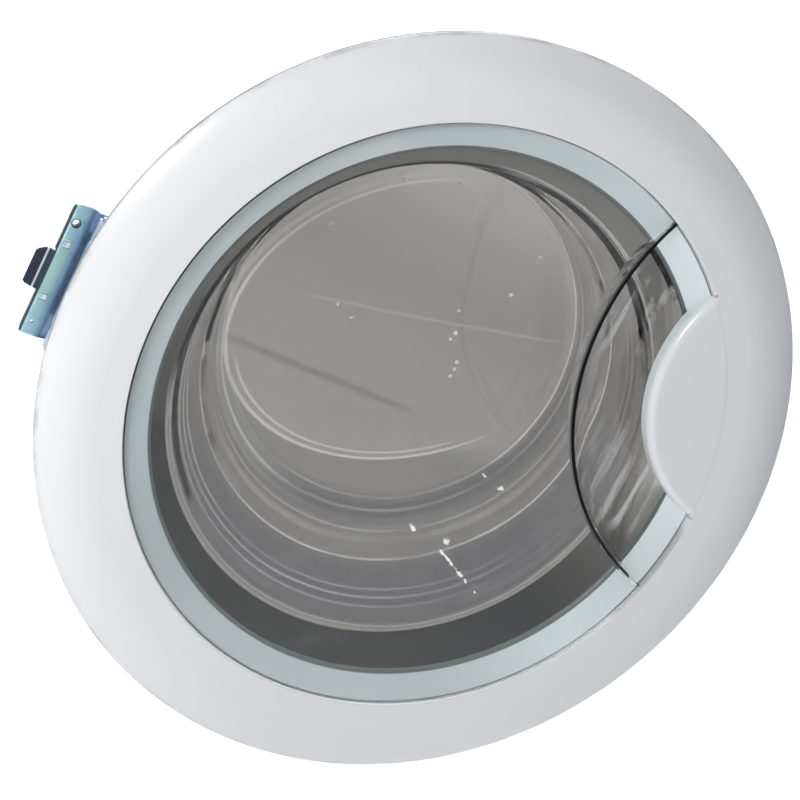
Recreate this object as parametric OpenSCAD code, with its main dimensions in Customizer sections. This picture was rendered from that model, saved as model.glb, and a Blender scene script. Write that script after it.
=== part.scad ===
// Porthole door of a front-loading washing machine, with its grip, catch and hinge.
// Every piece is drawn face up, as it lies on a bench: X right, Y up the door, Z out of
// the face, with Z = 0 in the plane of the ring's inner edge. stand() then hangs the door
// upright: X to the grip, Y into the machine, Z up, with the back frame's rear face at Y = 0.

/* [Front ring] */
// Outside radius of the white ring
ring_r = 230; // [229:0.5:231]
// Radius of the ring's inner edge, where the clear cover starts
eye_r = 182.2; // [182:0.1:183]
// Wall thickness of the white moulding
wall = 2.5; // [2.2:0.1:2.6]
// Radius out to which the ring's face is flat
land_r = 198; // [196:1:200]
// Radius of the crown that rolls the face down to the rim
crown_r = 59.5; // [58:0.5:62]
// Height of the face over the plane of the inner edge
face_z = 1; // [0.6:0.1:1.2]
// How far the rim's lower edge lies behind that plane
rim_depth = 12.5; // [12:0.5:13]
// Inner radius of the sloping band seen through the cover
band_r = 165.3; // [165:0.1:166]
// Depth of the band's inner edge
band_depth = 12; // [11.5:0.1:12.2]

/* [Grip and finger pocket] */
// Angle of the grip above the horizontal, seen from the front
grip_angle = 24.9; // [20:0.1:30]
// Distance from the door's centre to the centre of the round grip
grip_centre = 223.7; // [222:0.1:225]
// Radius of the round grip
grip_r = 91.2; // [90:0.1:92]
// Depth of the skirt round the grip
grip_skirt = 10; // [9:0.5:10]
// Rounding of the grip's edge
grip_edge = 5; // [3:0.5:5]
// Distance from the door's centre to the centre of the pocket's long edge
pocket_centre = 242.6; // [241.5:0.1:243.5]
// Radius of the pocket's long edge
pocket_r = 156.9; // [156:0.1:157.5]
// Depth of the pocket
pocket_depth = 28; // [26:1:29]
// Radius of the hollow corner at the foot of the pocket's long wall
pocket_fillet = 15; // [8:1:18]
// How far that wall leans in, from the edge down to the hollow corner
pocket_lean = 4; // [2:0.5:6]

/* [Cover and glass] */
// Thickness of the clear cover
cover_t = 2.8; // [2.4:0.1:3]
// Thickness of the glass
glass_t = 4.5; // [4:0.1:4.5]
// Radius of the bowl's neck, inside
neck_r = 148; // [147:0.5:149]
// Depth of the neck
neck_depth = 40; // [39:0.5:41]
// Radius of the bowl's flat floor, inside
floor_r = 115; // [110:1:118]
// Depth of the bowl's floor
bowl_depth = 104; // [90:1:110]
// How far the floor is set above the door's centre
floor_rise = 25; // [15:1:28]

/* [Back frame] */
// Outside radius of the back frame
frame_r = 216; // [215:0.5:217]
// Depth of its rear face
frame_depth = 40; // [39.5:0.5:40.5]
// Its wall thickness
frame_wall = 2.8; // [2.6:0.1:3]
// Radius of the circle of screws that joins it to the ring
screw_circle = 205; // [204:0.5:206]
// Radius of those screws
screw_r = 2; // [1.8:0.1:2.1]

/* [Lever and catch] */
// Distance of the lever's pin from the door's centre
lever_x = 192; // [191:0.5:193]
// Depth of the lever's pin
lever_depth = 12; // [11.5:0.5:12.5]
// Distance of the hook's pin from the door's centre
hook_x = 199; // [198.5:0.5:199.5]
// Depth of the hook's pin
hook_depth = 27; // [26.5:0.5:27.5]
// Depth of the hook's tip
hook_reach = 64; // [60:1:68]
// How far the hook's nose stands out of its shank
nose = 8.5; // [7:0.5:9]
// Radius of both pins
pin_r = 2; // [1.8:0.1:2.2]
// Radius of the spring wire
wire_r = 0.6; // [0.5:0.05:0.7]

/* [Hinge] */
// Height of the hinge leaf
leaf_h = 77; // [74:1:80]
// Distance of the hinge pin from the door's centre
hinge_x = 223.5; // [223:0.1:224]
// Depth of the hinge pin
hinge_depth = 17; // [16.5:0.5:17.5]
// Depth of the leaf's fixing face
leaf_depth = 27; // [26.5:0.5:28]
// Distance of the leaf's outer edge from the door's centre
leaf_x = 240.3; // [239.5:0.1:242]
// Thickness of the hinge's steel
steel = 2; // [1.8:0.1:2.2]
// Radius of the hinge pin
hinge_pin_r = 2; // [1.8:0.1:2.2]
// Radius of the tapped hole that takes the fixing screw
tapped_r = 2.1; // [2:0.05:2.5]

/* [Hidden] */
// Clearance of a running fit, on the radius
run = 0.05;
// Gap between parts that are only set against each other
gap = 0.3;
$fn = 96;

// Screws every 36 degrees, leaving wider gaps at the hinge and at the grip
screw_angles = concat([for (k = [0:3]) 50 + 36 * k], [for (k = [0:4]) 202 + 36 * k]);
screw_boss_z = -16.8;
screw_head_z = -24;

// Depths of the glass rim's two faces and of its seat in the back frame
rim_top = -15;
rim_low = rim_top - glass_t;
rim_r = 177;
throat_r = 165.5;

// Half width of the lever's arm and of the window that it passes through
arm_half = 27;
window_half = 31;
// Top and underside of the arm, and of the finger plate
arm_top = -8.8;
arm_low = -11.3;
plate_top = -14.5;
plate_low = -17;
// The two ends of the sloping step between them
step_in = 152.5;
step_out = 159.5;
plate_half = 44;
hub_r = 4.5;
// Where the lever's toe bears on the hook's tail, from the lever's pin
toe_x = 15;
toe_drop = 5.5;
toe_r = 2;
lever_spring_v = [14.8, 23.4];
hook_half = 4;
shank = 7;
hook_spring_v = [4.8, 10];
lever_turns = 6;
hook_turns = 3;

// Lower and upper end of the leaf's tab
tab_span = [-13.5, 10.5];
// How far the face is flat, and the radius of the bend that follows
leaf_flat_x = -233;
leaf_bend_r = 15;
leaf_bend_a = 34.5;
// Tapped hole, pilot hole and pressed tongues, measured from the leaf's outer edge
hole_in = 4.2;
hole_y = 29;
pilot_y = -30.8;
tongue_in = 4;
tongue_ys = [-15.4, 16.4];
collar = 3.5;
// Half heights of the hinge's knuckles
mid_knuckle = 25.5;
knuckle_r = 5;
arm_z = -20;
arm_in = 188;
hinge_screw_x = 199;
hinge_screw_y = 19;
backing = [24, 58, 2.5];

// Height of the crowned face at a radius beyond the flat land
function crown_z(r) = face_z - crown_r + sqrt(pow(crown_r, 2) - pow(max(r - land_r, 0), 2));

// Points of an arc round a centre
function arc(c, r, from, to, n = 8) =
    [for (i = [0:n]) c + r * [cos(from + (to - from) * i / n), sin(from + (to - from) * i / n)]];

module stand() translate([0, -frame_depth, 0]) rotate([90, 0, 0]) children();
module at_grip() rotate([0, 0, grip_angle]) children();
module at_hinge() translate([-hinge_x, 0, -hinge_depth]) children();
// Runs a side view, drawn as radius and height, across the door by a length
module across(length) rotate([90, 0, 0]) linear_extrude(length, center = true) children();
// A round bar across the door, from one half width to another
module bar(r, from, to) translate([0, to, 0]) rotate([90, 0, 0]) cylinder(h = to - from, r = r);
module at_screws() for (a = screw_angles) rotate([0, 0, a]) translate([screw_circle, 0, 0]) children();

// Front ring: one white moulding, from the rolled rim to the band under the cover

module ring_section() {
    band_low = band_depth + 2.4;
    difference() {
        union() {
            translate([eye_r, -6]) square([land_r - eye_r, 6]);
            translate([eye_r + face_z, -6]) square([land_r - eye_r - face_z, 6 + face_z]);
            translate([eye_r + face_z, 0]) circle(r = face_z);
            intersection() {
                translate([land_r, face_z - crown_r]) circle(r = crown_r);
                translate([land_r - 1, -rim_depth]) square([ring_r - land_r + 1, rim_depth + face_z]);
            }
        }
        translate([eye_r + wall, -40]) square([land_r - eye_r - wall, 40 + face_z - wall]);
        intersection() {
            translate([land_r, face_z - crown_r]) circle(r = crown_r - wall);
            translate([land_r - 2, -40]) square([ring_r - wall - land_r + 2, 45]);
        }
    }
    // Sloping band, with a glue groove under the cover's rim
    polygon([[eye_r + wall, -3.3], [eye_r, -3.3], [eye_r, -5.6], [eye_r - 0.9, -5.6], [eye_r - 0.9, -3.76],
             [band_r, -band_depth], [band_r - 0.7, -band_depth - 0.9],
             [band_r - 0.7, -band_low], [band_r + 1.2, -band_low], [eye_r + wall, -6]]);
}

// The grip is a shallow round dish turned over, of which the ring keeps the inner part
module grip_section() {
    inside = grip_r - wall;
    ceiling = face_z - wall - 0.2;
    difference() {
        union() {
            translate([0, -grip_skirt]) square([grip_r, grip_skirt + face_z - grip_edge]);
            square([grip_r - grip_edge, face_z]);
            translate([grip_r - grip_edge, face_z - grip_edge]) circle(r = grip_edge);
        }
        polygon([[-1, -grip_skirt - 1], [inside, -grip_skirt - 1], [inside, -wall - 2.2],
                 [inside - 2.6, -wall], [inside - 8, ceiling], [-1, ceiling]]);
    }
}

module ring_rib() {
    across(1.6) polygon(concat(
        [[eye_r + 1.5, -6], [eye_r + 1.5, crown_z(eye_r) - wall / 2]],
        [for (r = [land_r : 6 : ring_r - 2]) [r, crown_z(r) - wall / 2]],
        [[ring_r - 1.2, -9.4], [ring_r - 1.2, -11], [land_r + 12, -8], [land_r, -7]]));
}

module outer_ring() color([0.90, 0.91, 0.93]) stand() difference() {
    union() {
        rotate_extrude($fn = 180) ring_section();
        at_grip() intersection() {
            translate([grip_centre, 0, 0]) rotate_extrude($fn = 120) grip_section();
            translate([0, 0, -20]) cylinder(h = 30, r = eye_r + wall / 2, $fn = 180);
        }
        at_screws() translate([0, 0, screw_boss_z]) cylinder(h = -screw_boss_z - 1, r = 4.4, $fn = 32);
        for (a = screw_angles, s = [-1, 1]) rotate([0, 0, a + 6 * s]) ring_rib();
    }
    at_screws() translate([0, 0, screw_boss_z - 1]) cylinder(h = 13, r = screw_r + 0.02, $fn = 32);
    // Window under the grip for the lever, and the small notches at the grip's two corners
    at_grip() translate([154, -window_half, -40]) cube([eye_r + wall - 153, 2 * window_half, 37.2]);
    at_grip() for (s = [-1, 1]) rotate([0, 0, 23.4 * s]) translate([eye_r - 1, -0.8, -4.5]) cube([3, 1.6, 8]);
}

// Clear cover: a flat disc with the finger pocket moulded into it

// Side view of the pocket, turned about the centre of its long edge: a leaning wall that
// runs into the flat floor through a hollow corner
module pocket_section(shell) {
    deep = pocket_depth + shell;
    hollow = pocket_fillet + shell;
    foot = pocket_r - pocket_lean + shell;
    slope = pocket_lean / (pocket_depth - pocket_fillet);
    above = 20;
    translate([foot - hollow, -deep + hollow]) circle(r = hollow);
    polygon([[0, -deep], [foot - hollow, -deep], [foot, -deep + hollow],
             [foot + slope * (above + deep - hollow), above], [0, above]]);
}

// The hollow of the pocket, or with a thickness the outside of its shell
module pocket(shell) {
    low = -pocket_depth - 10;
    intersection() {
        translate([pocket_centre, 0, 0]) rotate_extrude($fn = 180) pocket_section(shell);
        rotate_extrude($fn = 180) if (shell > 0) polygon([[0, low], [141, low], [band_r - 1.1, -band_depth - 0.7],
            [band_r - 0.4, -band_depth + 0.2], [eye_r - 2, -cover_t - 0.9], [eye_r - 2, -1.3], [0, -1.3]]);
        else polygon([[0, low], [137, low], [band_r - 4.1, -band_depth - 0.3],
            [eye_r + 8, -band_depth - 0.3], [eye_r + 8, 20], [0, 20]]);
    }
}

module clear_cover() color([0.80, 0.86, 0.86, 0.45]) stand() difference() {
    union() {
        translate([0, 0, -cover_t - 0.2]) cylinder(h = cover_t, r = eye_r - 0.3, $fn = 180);
        at_grip() pocket(cover_t);
    }
    at_grip() pocket(0);
}

// Glass bowl: rim, steep throat, then a slanted bowl whose floor is set high

// Half section from neck to floor; the inside has two pressed steps, which stiffen the wall
module bowl_outline(r_neck, r_floor, depth, corner, stepped) {
    c = [r_floor - corner, -depth + corner];
    start = stepped ? [r_neck - 3.6, -neck_depth - 5.5] : [r_neck, -neck_depth];
    from = atan2(start[1] - c[1], start[0] - c[0]) - acos(corner / norm(start - c));
    half = (start + c + corner * [cos(from), sin(from)]) / 2;
    polygon(concat(
        [[0, -neck_depth + 1], [r_neck, -neck_depth + 1], [r_neck, -neck_depth]],
        stepped ? [[r_neck - 0.6, -neck_depth - 3.5], start, half + [1, 2], half + [-2.2, -0.4]] : [],
        arc(c, corner, from, -90),
        [[0, -depth]]));
}

// Slants what lies below the neck, so that each level is still a true circle
module slant() {
    k = floor_rise / (bowl_depth - neck_depth);
    multmatrix([[1, 0, 0, 0], [0, 1, -k, -k * neck_depth], [0, 0, 1, 0], [0, 0, 0, 1]]) children();
}

module glass_bowl() color([0.62, 0.62, 0.60, 0.5]) stand() difference() {
    union() {
        rotate_extrude($fn = 180) polygon([[0, rim_top], [rim_r, rim_top], [rim_r, rim_low],
            [throat_r + 4, rim_low], [neck_r + glass_t, -neck_depth], [0, -neck_depth]]);
        slant() rotate_extrude($fn = 180) bowl_outline(neck_r + glass_t, floor_r + glass_t, bowl_depth + glass_t, 13, false);
    }
    rotate_extrude($fn = 180) polygon([[0, rim_top + 1], [throat_r + 0.7, rim_top + 1], [neck_r, -neck_depth],
                                       [neck_r - 1, -neck_depth - 1], [0, -neck_depth - 1]]);
    slant() rotate_extrude($fn = 180) bowl_outline(neck_r, floor_r, bowl_depth, 8, true);
}

// Back frame: a dark grey channel that seats the glass and carries hinge and catch

module frame_section() {
    t = frame_wall;
    seat = rim_low - gap;
    polygon([[throat_r + 5.2, seat], [neck_r + glass_t + 2, -frame_depth], [neck_r + glass_t + 2.5, -frame_depth - 1.6],
             [neck_r + glass_t + 6, -frame_depth - 1.6], [neck_r + glass_t + 8.5, -frame_depth],
             [frame_r - 5, -frame_depth], [frame_r, -frame_depth + 5], [frame_r, -10],
             [frame_r - t, -10], [frame_r - t, -frame_depth + 5.6], [frame_r - 5.8, -frame_depth + t],
             [neck_r + glass_t + 6.5, -frame_depth + t], [throat_r + 9, seat - t], [rim_r + gap + t, seat - t],
             [rim_r + gap + t, -13.6], [rim_r + gap, -13.6], [rim_r + gap, seat]]);
}

// One of a pair of cheeks that hold a pin, standing on the frame's rear wall
module cheek(x, depth, from, to) {
    for (s = [-1, 1]) translate([0, s * (from + to) / 2, 0]) across(to - from) {
        translate([x, -depth]) circle(r = 5.5, $fn = 48);
        polygon([[x - 5.5, -depth], [x - 7.5, -frame_depth + 1], [x + 7.5, -frame_depth + 1], [x + 5.5, -depth]]);
    }
}

module frame_rib() across(1.8) polygon([[throat_r + 3, -frame_depth + 1.5], [throat_r + 9, -24],
    [throat_r + 14, -24], [frame_r - 12, -30], [frame_r - 1.5, -30], [frame_r - 1.5, -frame_depth + 7],
    [frame_r - 6, -frame_depth + 1.5]]);

module inner_frame() color([0.30, 0.29, 0.29]) stand() difference() {
    union() {
        rotate_extrude($fn = 180) frame_section();
        at_screws() translate([0, 0, -frame_depth + 1])
            cylinder(h = frame_depth - 1 + screw_boss_z - gap, r = 6, $fn = 48);
        for (a = screw_angles, s = [-1, 1]) rotate([0, 0, a + 9 * s]) frame_rib();
        at_grip() cheek(lever_x, lever_depth, 26, 30);
        at_grip() cheek(hook_x, hook_depth, 11, 14);
        // Posts for the fixed legs of the two springs
        at_grip() translate([lever_x + 9, 13.5, -frame_depth + 1]) cube([3, 3.5, frame_depth - 1 - lever_depth + 2.6]);
        at_grip() translate([hook_x - 2.8, 11, -hook_depth]) cube([4, 3, 9]);
        at_grip() translate([hook_x - 2.8, hook_spring_v[1] - 1.4, -hook_depth + 4.6]) cube([4, 3, 4.4]);
        // Platforms that the hinge arm is screwed to
        for (s = [-1, 1]) translate([-hinge_screw_x, s * hinge_screw_y, -frame_depth + 1])
            cylinder(h = frame_depth - 1 + arm_z - steel - gap / 3, r = 8, $fn = 48);
    }
    at_screws() {
        translate([0, 0, -frame_depth - 2]) cylinder(h = 30, r = screw_r + gap, $fn = 32);
        translate([0, 0, -frame_depth - 2]) cylinder(h = frame_depth + 2 + screw_head_z, r = 4.4, $fn = 32);
    }
    at_grip() translate([lever_x, 0, -lever_depth]) bar(pin_r + 0.02, -40, 40);
    at_grip() translate([hook_x, 0, -hook_depth]) bar(pin_r + 0.02, -20, 20);
    // Slot for the hook
    at_grip() translate([hook_x - 11, -hook_half - 1.5, -frame_depth - 3])
        cube([26, 2 * hook_half + 3, frame_wall + 5]);
    // Notch in the outer wall for the hinge arm, its screw holes and the recess for the backing
    translate([-frame_r - 2, -mid_knuckle - 3, arm_z - steel - gap]) cube([14, 2 * mid_knuckle + 6, 20]);
    for (s = [-1, 1]) translate([-hinge_screw_x, s * hinge_screw_y, -frame_depth - 1])
        cylinder(h = 30, r = 2.5 + gap, $fn = 32);
    translate([-hinge_screw_x - backing[0] / 2, -backing[1] / 2, -frame_depth - 2])
        cube([backing[0], backing[1], backing[2] + 2]);
}

// Self-tapping screws that pull the back frame to the ring
module frame_screws() color([0.75, 0.76, 0.78]) stand() at_screws() {
    translate([0, 0, screw_head_z]) cylinder(h = -screw_head_z - 6, r = screw_r, $fn = 32);
    difference() {
        translate([0, 0, screw_head_z - 2.6]) cylinder(h = 2.6, r1 = 3.2, r2 = 4, $fn = 32);
        for (a = [0, 90]) rotate([0, 0, a]) translate([0, 0, screw_head_z - 2.6]) cube([4, 0.9, 2.4], center = true);
    }
}

// Lever: one moulding, finger plate inside the grip, arm over the glass rim, toe on the hook

module lever_side() {
    polygon([[136.3, plate_low - 2.2], [138.6, plate_low - 2.2], [139.4, plate_low], [step_in, plate_low],
             [step_out, arm_low], [lever_x - 7, arm_low - 0.4], [lever_x, -lever_depth - hub_r],
             [lever_x, -lever_depth + hub_r - 1], [lever_x - 5, arm_top - 0.6], [176, arm_top - 0.6],
             [172, arm_top], [step_out, arm_top], [step_in, plate_top], [136.3, plate_top]]);
}

module lever_plan() {
    intersection() {
        translate([grip_centre, 0]) circle(r = grip_r - wall - 1.5);
        circle(r = 155.5);
        translate([100, -plate_half]) square([100, 2 * plate_half]);
    }
    translate([150, -arm_half]) square([lever_x - 150, 2 * arm_half]);
}

module lever_toe() {
    hull() {
        translate([lever_x, -lever_depth]) circle(r = hub_r, $fn = 32);
        translate([lever_x + toe_x, -lever_depth - toe_drop]) circle(r = toe_r, $fn = 32);
    }
}

module handle_lever() color([0.93, 0.93, 0.94]) stand() at_grip() difference() {
    union() {
        intersection() {
            across(2 * plate_half + 2) lever_side();
            translate([0, 0, -30]) linear_extrude(40) lever_plan();
        }
        // Ribs that stiffen the arm from below
        for (v = [-22, 0, 22]) translate([0, v, 0]) across(2)
            polygon([[162, arm_low + 1], [lever_x, arm_low + 1], [lever_x, -lever_depth - 3],
                     [182, arm_low - 1.4], [168, arm_low - 1.4], [165.5, arm_low]]);
        translate([lever_x, 0, -lever_depth]) bar(hub_r, -25.6, lever_spring_v[0] - 0.4);
        translate([lever_x, 0, -lever_depth]) bar(hub_r, lever_spring_v[1] + 0.4, 25.6);
        across(8) lever_toe();
    }
    translate([lever_x, 0, -lever_depth]) bar(pin_r + run, -40, 40);
    // Space for the spring's coil
    translate([lever_x, 0, -lever_depth]) bar(6.2, lever_spring_v[0] - 0.4, lever_spring_v[1] + 0.4);
    // The arm is cut away round the cheeks
    for (s = [-1, 1]) translate([lever_x, s * 28.3, -lever_depth]) rotate([90, 0, 0])
        cylinder(h = 5, r = 7, center = true, $fn = 48);
}

module lever_pin() color([0.72, 0.73, 0.75]) stand() at_grip() translate([lever_x, 0, -lever_depth]) difference() {
    bar(pin_r, -33, 33);
    for (s = [-1, 1]) translate([0, 31.2 * s, 0]) rotate([90, 0, 0]) difference() {
        cylinder(h = 0.9, r = pin_r + 1, center = true, $fn = 32);
        cylinder(h = 2, r = pin_r - 0.5, center = true, $fn = 32);
    }
}

// Spring clips in the grooves at the pin's two ends
module pin_clips() color([0.45, 0.45, 0.47]) stand() at_grip() translate([lever_x, 0, -lever_depth])
    for (s = [-1, 1]) translate([0, 31.2 * s, 0]) rotate([90, 0, 0])
        linear_extrude(0.7, center = true) difference() {
            circle(r = 4, $fn = 48);
            circle(r = pin_r - 0.45, $fn = 32);
            translate([0, -3]) square([2 * pin_r - 1.6, 6], center = true);
            for (a = [30, 150]) rotate(a) translate([pin_r - 0.2, 0]) circle(r = 0.7, $fn = 24);
        }

// A round wire swept along points round an axis that lies along Y
function unit(v) = v / norm(v);
function wire_rings(path, r, sides) = [
    for (i = [0 : len(path) - 1])
        let (t = unit(path[min(i + 1, len(path) - 1)] - path[max(i - 1, 0)]))
        let (n = unit(cross(t, [0, 1, 0])))
        let (b = cross(t, n))
        for (k = [0 : sides - 1]) path[i] + r * (cos(360 * k / sides) * n + sin(360 * k / sides) * b)];

module wire(path, r, sides = 8) {
    m = len(path);
    polyhedron(
        points = wire_rings(path, r, sides),
        faces = concat(
            [[for (k = [0 : sides - 1]) k]],
            [[for (k = [sides - 1 : -1 : 0]) (m - 1) * sides + k]],
            [for (i = [0 : m - 2], k = [0 : sides - 1])
                let (a = i * sides + k)
                let (b = i * sides + (k + 1) % sides)
                [a, a + sides, b + sides, b]]));
}

// Torsion spring: a straight leg, turns round the pin from an angle onwards, a second leg.
// The sign of the turns gives the way it is wound.
function torsion(r, span, start, turns, legs) =
    let (n = round(16 * abs(turns)), way = sign(turns), stop = start + 360 * turns)
    concat(
        [[r * cos(start) + way * legs[0] * sin(start), span[0], r * sin(start) - way * legs[0] * cos(start)]],
        [for (i = [0:n]) let (a = start + 360 * turns * i / n)
            [r * cos(a), span[0] + (span[1] - span[0]) * i / n, r * sin(a)]],
        [[r * cos(stop) - way * legs[1] * sin(stop), span[1], r * sin(stop) + way * legs[1] * cos(stop)]]);

module lever_spring() color([0.60, 0.61, 0.63]) stand() at_grip()
    translate([lever_x, 0, -lever_depth])
        wire(torsion(pin_r + 1.6, [lever_spring_v[0] + wire_r, lever_spring_v[1] - wire_r],
                     90, lever_turns, [11, 11]), wire_r);

// Catch: a hook punched from thick steel plate

module hook_side() {
    r = hub_r + 0.5;
    difference() {
        union() {
            translate([hook_x, -hook_depth]) circle(r = r, $fn = 48);
            polygon([[hook_x - 3.5, -hook_depth], [hook_x - 3.5, -hook_reach + 3], [hook_x - 1.5, -hook_reach],
                     [hook_x + 1, -hook_reach], [hook_x + 3.5 + nose, -hook_reach + 7],
                     [hook_x + 3.5 + nose, -hook_reach + 9], [hook_x + shank / 2 + 1, -hook_reach + 8],
                     [hook_x + 3.5, -hook_reach + 9], [hook_x + 3.5, -hook_depth]]);
            hull() {
                translate([hook_x + 2, -hook_depth + 2.4]) circle(r = 2.4, $fn = 32);
                translate([hook_x + 10, -hook_depth + 5.4]) circle(r = 2.3, $fn = 32);
            }
        }
        translate([hook_x, -hook_depth]) circle(r = pin_r + run, $fn = 48);
    }
}

module catch_hook() color([0.66, 0.68, 0.70]) stand() at_grip() across(2 * hook_half) hook_side();

module hook_pin() color([0.72, 0.73, 0.75]) stand() at_grip() translate([hook_x, 0, -hook_depth])
    bar(pin_r, -15, 15);

module hook_spring() color([0.60, 0.61, 0.63]) stand() at_grip()
    translate([hook_x, 0, -hook_depth])
        wire(torsion(pin_r + 1.6, [hook_spring_v[0] + wire_r, hook_spring_v[1] - wire_r],
                     180, -hook_turns, [9, 8]), wire_r);

// Guide shoe round the hook: it leads the door home on the machine's lock
module hook_guide() color([0.88, 0.88, 0.87]) stand() at_grip() translate([hook_x + 2, 0, 0]) difference() {
    across(34) polygon([[-17, -frame_depth], [17, -frame_depth], [17, -frame_depth - 2],
                        [13.5, -frame_depth - 7], [-12, -frame_depth - 7], [-17, -frame_depth - 3]]);
    translate([-13, -hook_half - 1.5, -frame_depth - 20]) cube([26, 2 * hook_half + 3, 30]);
    for (s = [-1, 1]) translate([0, 11.5 * s, -frame_depth - 10]) {
        cylinder(h = 20, r = 1.8, $fn = 32);
        cylinder(h = 6.4, r = 3.6, $fn = 32);
    }
}

module guide_screws() color([0.75, 0.76, 0.78]) stand() at_grip() translate([hook_x + 2, 0, -frame_depth])
    for (s = [-1, 1]) translate([0, 11.5 * s, 0]) {
        translate([0, 0, -5.5]) cylinder(h = 5.4, r = 1.7, $fn = 32);
        difference() {
            translate([0, 0, -5.8]) cylinder(h = 2, r1 = 2.6, r2 = 3.2, $fn = 32);
            for (a = [0, 90]) rotate([0, 0, a]) translate([0, 0, -5.8]) cube([3.4, 0.8, 1.6], center = true);
        }
    }

// Hinge: pressed leaf on the machine's front panel, arm screwed to the back frame

// Side view of the leaf from its folded outer edge, under the pin and up to its right side
module leaf_side() {
    top = -leaf_depth;
    out = -leaf_x;
    foot = -hinge_x + knuckle_r - 0.5;
    bend = [leaf_flat_x, top - leaf_bend_r];
    fold = 5;
    difference() {
        union() {
            translate([out + steel, top - fold]) square([1, fold]);
            polygon(concat(arc([out + steel, top - steel], steel, 180, 90, 6),
                arc(bend, leaf_bend_r, 90, 90 - leaf_bend_a),
                [[foot - steel, top - 2.9], [foot - steel, -hinge_depth], [foot, -hinge_depth],
                 [foot, top - 3.6 - steel + 1], [foot - 1, top - 2.9 - steel]],
                arc(bend, leaf_bend_r - steel, 90 - leaf_bend_a, 90),
                [[out + steel, top - steel], [out + steel, top - fold], [out, top - fold]]));
        }
        translate([out + steel, top - 10]) square([8, 10 - steel]);
    }
}

// Front view of the leaf: its upper end is slightly domed between the fold and the knuckle
module leaf_front() {
    half = leaf_h / 2;
    polygon([[-leaf_x - 1, -half], [-leaf_x - 1, half], [-leaf_x + 1, half], [-leaf_x + 4, half + 1.2],
             [-leaf_x + 8, half + 1.7], [-leaf_x + 12, half + 1.2], [-hinge_x - 2, half],
             [-hinge_x + 8, half], [-hinge_x + 8, -half]]);
}

// The hooked tab steps back from the leaf's edge, runs level and then slants outwards and
// further back, where its upper side tapers
module leaf_tab() translate([-leaf_x, 0, -leaf_depth]) intersection() {
    across(leaf_h) polygon([[4, 0], [0.9, 0], [-2.6, -4.6], [-3.7, -4.6], [-7.85, -8.46],
        [-6.5, -9.93], [-2.93, -6.6], [-1.6, -6.6], [1.9, -2], [4, -2]]);
    translate([0, 0, -12]) linear_extrude(14) polygon([[5, tab_span[0]], [-6.6, tab_span[0] - 0.4],
        [-9, tab_span[0] + 1], [-9, 4], [-7.2, 5.8], [-3.2, tab_span[1] - 0.8], [5, tab_span[1]]]);
}

module hinge_leaf() color([0.52, 0.62, 0.68]) stand() difference() {
    union() {
        difference() {
            intersection() {
                across(leaf_h + 6) leaf_side();
                translate([0, 0, -60]) linear_extrude(60) leaf_front();
            }
            // The rising part is cut away in the middle, where the arm's knuckle turns
            translate([-hinge_x - 3, -mid_knuckle - 0.5, -leaf_depth - 0.2]) cube([12, 2 * mid_knuckle + 1, 30]);
            // The folded edge stops short of the tab
            translate([-leaf_x - 1, tab_span[0] - 1, -leaf_depth - 8])
                cube([steel + 1.05, tab_span[1] - tab_span[0] + 2, 8 - steel]);
            // The folded edge is snipped off at a slant at both ends
            for (s = [-1, 1]) translate([-leaf_x, s * leaf_h / 2, -leaf_depth - 6])
                rotate([45, 0, 0]) cube([6, 5, 5], center = true);
        }
        leaf_tab();
        at_hinge() for (s = [-1, 1]) bar(hub_r, min(s * (mid_knuckle + 0.5), s * leaf_h / 2),
                                          max(s * (mid_knuckle + 0.5), s * leaf_h / 2));
        // Two pressed tongues beside the tab, and the collar of the tapped hole
        for (y = tongue_ys) translate([-leaf_x + tongue_in, y, -leaf_depth - 0.2])
            rotate([0, -14, 0]) cube([3.6, 2.6, 1.2], center = true);
        translate([-leaf_x + hole_in, hole_y, -leaf_depth - steel - collar])
            cylinder(h = collar + 1, r = tapped_r + 1.4, $fn = 32);
    }
    at_hinge() bar(hinge_pin_r + 0.02, -50, 50);
    translate([-leaf_x + hole_in, hole_y, -leaf_depth - 10]) cylinder(h = 20, r = tapped_r, $fn = 32);
    translate([-leaf_x + hole_in, hole_y, -leaf_depth - 0.7])
        cylinder(h = 0.71, r1 = tapped_r, r2 = tapped_r + 0.7, $fn = 32);
    translate([-leaf_x + hole_in, pilot_y, -leaf_depth - 10]) cylinder(h = 20, r = 0.9, $fn = 24);
    // Slots pressed through round the tongues
    for (y = tongue_ys) translate([-leaf_x + tongue_in, y, -leaf_depth - 5]) {
        translate([-2, 1.5, 0]) cube([4.4, 0.7, 10]);
        translate([-2, -2.2, 0]) cube([4.4, 0.7, 10]);
    }
}

module hinge_pin() color([0.75, 0.76, 0.78]) stand() at_hinge() {
    bar(hinge_pin_r, -leaf_h / 2 - 1.5, leaf_h / 2 + 1.5);
    for (s = [-1, 1]) translate([0, s * (leaf_h / 2 + 0.9), 0]) rotate([90, 0, 0])
        cylinder(h = 1.6, r = hinge_pin_r + 1.2, center = true, $fn = 32);
}

// Flanged nylon bushes in the two ends of the arm's knuckle
module hinge_bushes() color([0.92, 0.92, 0.88]) stand() at_hinge() for (s = [-1, 1]) difference() {
    union() {
        bar(3.2, min(s * 12, s * (mid_knuckle - 1)), max(s * 12, s * (mid_knuckle - 1)));
        bar(hub_r, min(s * (mid_knuckle - 1), s * mid_knuckle), max(s * (mid_knuckle - 1), s * mid_knuckle));
    }
    bar(hinge_pin_r + run, -50, 50);
}

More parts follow.
